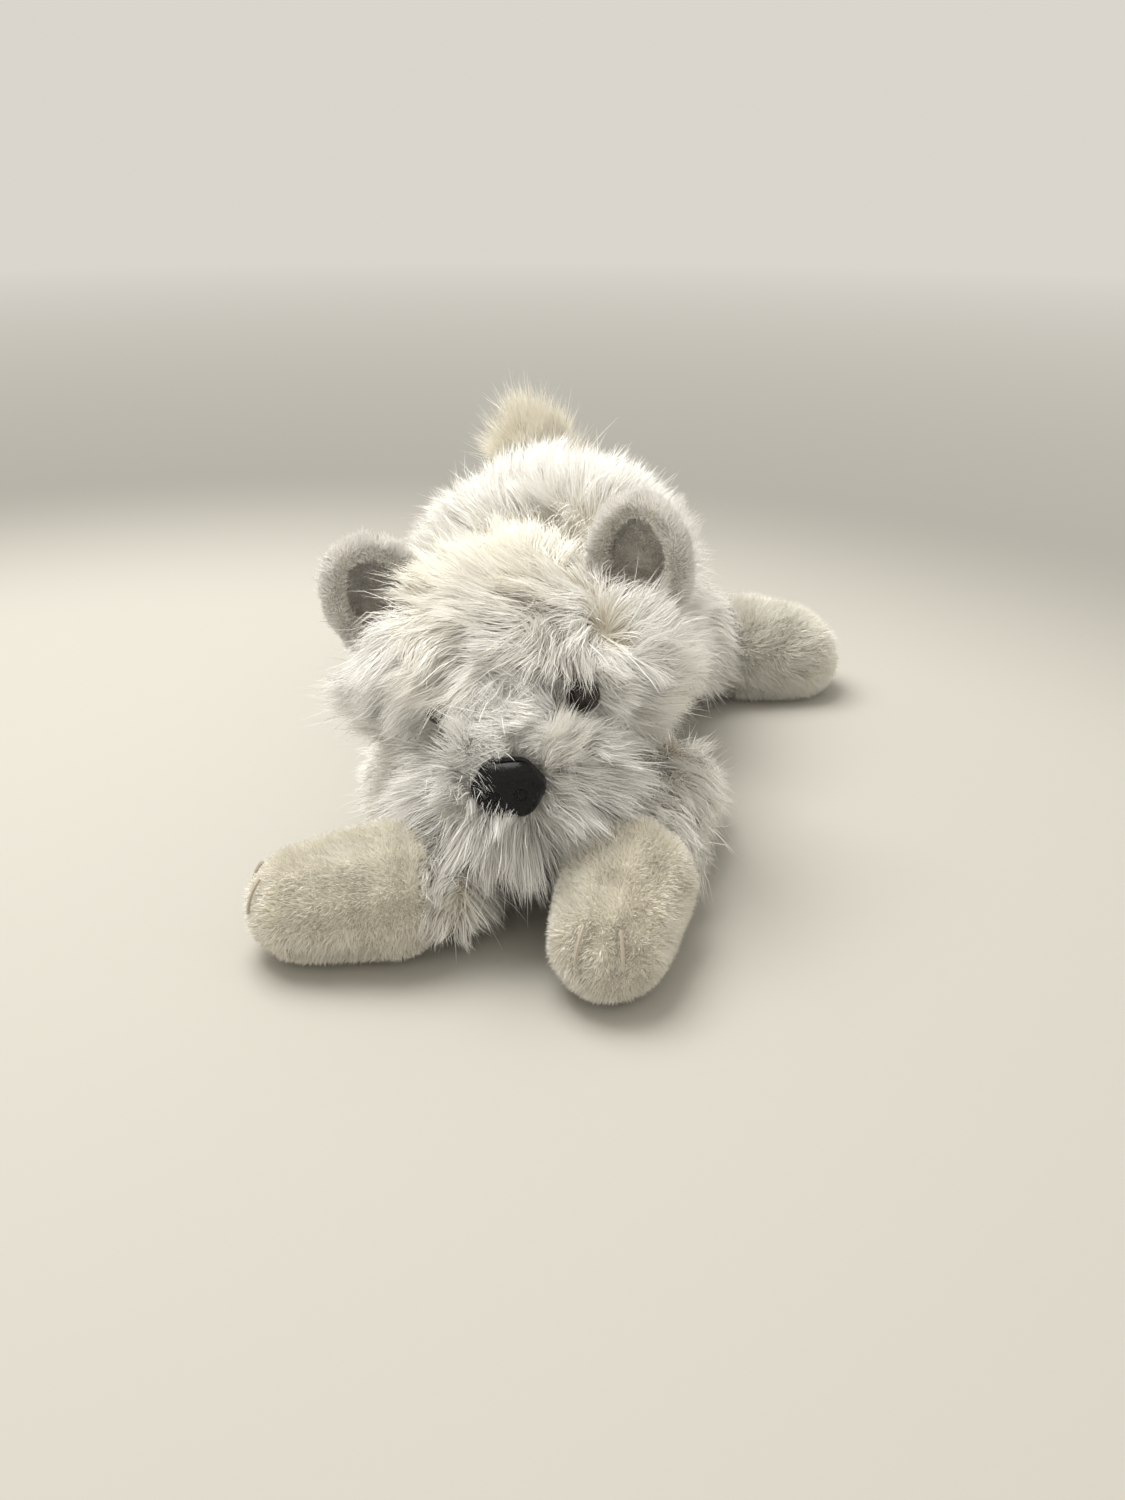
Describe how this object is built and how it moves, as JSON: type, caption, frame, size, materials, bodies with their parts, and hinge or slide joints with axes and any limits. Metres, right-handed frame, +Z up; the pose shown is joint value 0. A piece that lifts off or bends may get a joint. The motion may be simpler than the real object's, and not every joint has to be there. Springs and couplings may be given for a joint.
{
  "type": "plush dog",
  "caption": "Soft toy terrier lying on its belly, with a shaggy cover, short pile paws and ears, and a moulded nose.",
  "frame": {"origin": "middle of the flat of the belly, on the surface the dog lies on", "axes": "+Z up, -Y the way the dog faces, +X the dog's own left"},
  "size_m": [0.2364, 0.3143, 0.1367],
  "materials": {
    "long_pile": "shaggy cool white plush, 25 to 30 mm pile",
    "short_pile": "dense cream plush, 4 to 6 mm pile",
    "ear_lining": "short warm beige plush",
    "gusset_cloth": "knitted backing cloth",
    "fibre": "loose polyester fibre",
    "pouch_cloth": "thin woven polyester",
    "pellets": "loose pellets",
    "nose_plastic": "black, moulded with a fine leather grain",
    "eye_plastic": "polished dark",
    "washer_plastic": "moulded",
    "thread": "twisted polyester thread"
  },
  "bodies": {
    "torso": {"back_panel": "long_pile", "belly_panel": "long_pile", "torso_stuffing": "fibre", "belly_pouch": "pouch_cloth", "belly_pellets": "pellets"},
    "neck": {"neck_collar": "gusset_cloth", "neck_stuffing": "fibre"},
    "head": {"head_crown_cover": "long_pile", "head_chin_cover": "long_pile", "muzzle_cover": "long_pile", "head_stuffing": "fibre", "muzzle_stuffing": "fibre", "nose": "nose_plastic", "nose_washer": "washer_plastic", "eye_left": "eye_plastic", "eye_right": "eye_plastic", "eye_left_washer": "washer_plastic", "eye_right_washer": "washer_plastic", "mouth_thread": "thread"},
    "ear_left": {"ear_left_back": "short_pile", "ear_left_lining": "ear_lining"},
    "ear_right": {"ear_right_back": "short_pile", "ear_right_lining": "ear_lining"},
    "tail": {"tail_cover": "long_pile", "tail_stuffing": "fibre"},
    "foreleg_left": {"foreleg_left_sleeve": "long_pile", "foreleg_left_paw_cover": "short_pile", "foreleg_left_stuffing": "fibre", "foreleg_left_pellet_bag": "pouch_cloth", "foreleg_left_toe_thread_left": "thread", "foreleg_left_toe_thread_right": "thread"},
    "foreleg_right": {"foreleg_right_sleeve": "long_pile", "foreleg_right_paw_cover": "short_pile", "foreleg_right_stuffing": "fibre", "foreleg_right_pellet_bag": "pouch_cloth", "foreleg_right_toe_thread_left": "thread", "foreleg_right_toe_thread_right": "thread"},
    "hindleg_left": {"hindleg_left_sleeve": "long_pile", "hindleg_left_foot_cover": "short_pile", "hindleg_left_stuffing": "fibre", "hindleg_left_pellet_bag": "pouch_cloth", "hindleg_left_toe_thread_left": "thread", "hindleg_left_toe_thread_right": "thread"},
    "hindleg_right": {"hindleg_right_sleeve": "long_pile", "hindleg_right_foot_cover": "short_pile", "hindleg_right_stuffing": "fibre", "hindleg_right_pellet_bag": "pouch_cloth", "hindleg_right_toe_thread_left": "thread", "hindleg_right_toe_thread_right": "thread"}
  },
  "joints": [
    {"name": "head_turn", "type": "hinge", "parent": "torso", "child": "neck", "pos_m": [0, -0.046, 0.062], "axis": [0, 0, 1], "range_deg": [-25, 25]},
    {"name": "head_nod", "type": "hinge", "parent": "neck", "child": "head", "pos_m": [0, -0.046, 0.062], "axis": [-0.9976, -0.0698, 0], "range_deg": [0, 28]},
    {"name": "ear_left_fold", "type": "hinge", "parent": "head", "child": "ear_left", "pos_m": [0.04072, -0.06721, 0.09602], "axis": [0.9124, -0.3965, -0.1011], "range_deg": [-20, 35], "stiffness_Nm_per_rad": 0.02},
    {"name": "ear_right_fold", "type": "hinge", "parent": "head", "child": "ear_right", "pos_m": [-0.04443, -0.07316, 0.08554], "axis": [0.703, 0.4721, 0.5318], "range_deg": [-20, 35], "stiffness_Nm_per_rad": 0.02},
    {"name": "foreleg_left_swing", "type": "hinge", "parent": "torso", "child": "foreleg_left", "pos_m": [0.05, -0.056, 0.019], "axis": [0, 0, 1], "range_deg": [-6, 22]},
    {"name": "foreleg_right_swing", "type": "hinge", "parent": "torso", "child": "foreleg_right", "pos_m": [-0.046, -0.06, 0.019], "axis": [0, 0, -1], "range_deg": [-6, 22]},
    {"name": "hindleg_left_swing", "type": "hinge", "parent": "torso", "child": "hindleg_left", "pos_m": [0.05, 0.074, 0.027], "axis": [0, 0, 1], "range_deg": [-12, 15]},
    {"name": "hindleg_right_swing", "type": "hinge", "parent": "torso", "child": "hindleg_right", "pos_m": [-0.05, 0.076, 0.027], "axis": [0, 0, -1], "range_deg": [-12, 15]},
    {"name": "tail_wag", "type": "hinge", "parent": "torso", "child": "tail", "pos_m": [-0.008, 0.113, 0.08], "axis": [0, 1, 0], "range_deg": [-25, 25], "stiffness_Nm_per_rad": 0.03}
  ]
}
